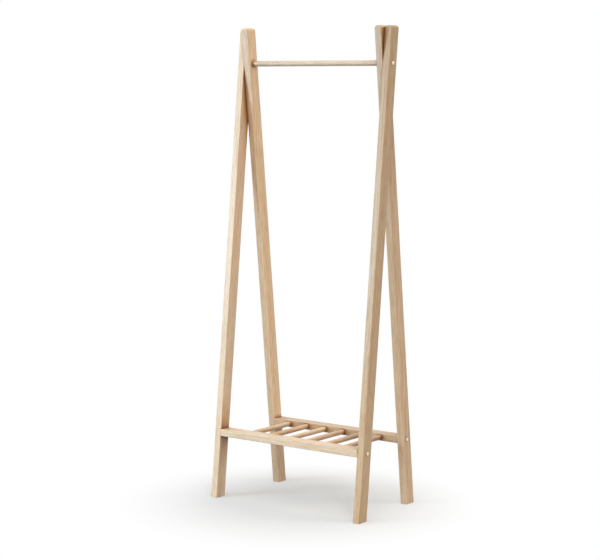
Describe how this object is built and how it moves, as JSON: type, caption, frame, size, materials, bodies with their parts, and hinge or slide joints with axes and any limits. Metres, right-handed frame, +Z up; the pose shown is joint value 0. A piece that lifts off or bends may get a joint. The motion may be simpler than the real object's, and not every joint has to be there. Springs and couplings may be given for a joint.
{
  "type": "open frame wardrobe",
  "caption": "Free-standing open clothes stand of crossed wooden battens, with a round hanging rail at the crossings and a low shelf of round rods between the feet.",
  "frame": {"origin": "on the floor, midway between the four feet", "axes": "+X along the hanging rail to the right seen from the front, +Y to the back, +Z up"},
  "size_m": [0.666, 0.3824, 1.7],
  "materials": {
    "batten_wood": "matt oiled, straight grain",
    "dowel_wood": "matt oiled, turned",
    "zinc_steel": "bright zinc plate"
  },
  "bodies": {
    "root": {"front_left_leg": "batten_wood", "front_right_leg": "batten_wood", "back_left_leg": "batten_wood", "back_right_leg": "batten_wood", "shelf_front_rail": "batten_wood", "shelf_back_rail": "batten_wood", "hanging_rail": "dowel_wood", "shelf_rod_1": "dowel_wood", "shelf_rod_2": "dowel_wood", "shelf_rod_3": "dowel_wood", "shelf_rod_4": "dowel_wood", "shelf_rod_5": "dowel_wood", "shelf_rod_6": "dowel_wood", "left_crossing_bolt": "zinc_steel", "right_crossing_bolt": "zinc_steel", "front_left_shelf_bolt": "zinc_steel", "front_right_shelf_bolt": "zinc_steel", "back_left_shelf_bolt": "zinc_steel", "back_right_shelf_bolt": "zinc_steel", "left_rail_insert": "zinc_steel", "right_rail_insert": "zinc_steel", "front_left_barrel_nut": "zinc_steel", "front_right_barrel_nut": "zinc_steel", "back_left_barrel_nut": "zinc_steel", "back_right_barrel_nut": "zinc_steel"}
  },
  "joints": []
}
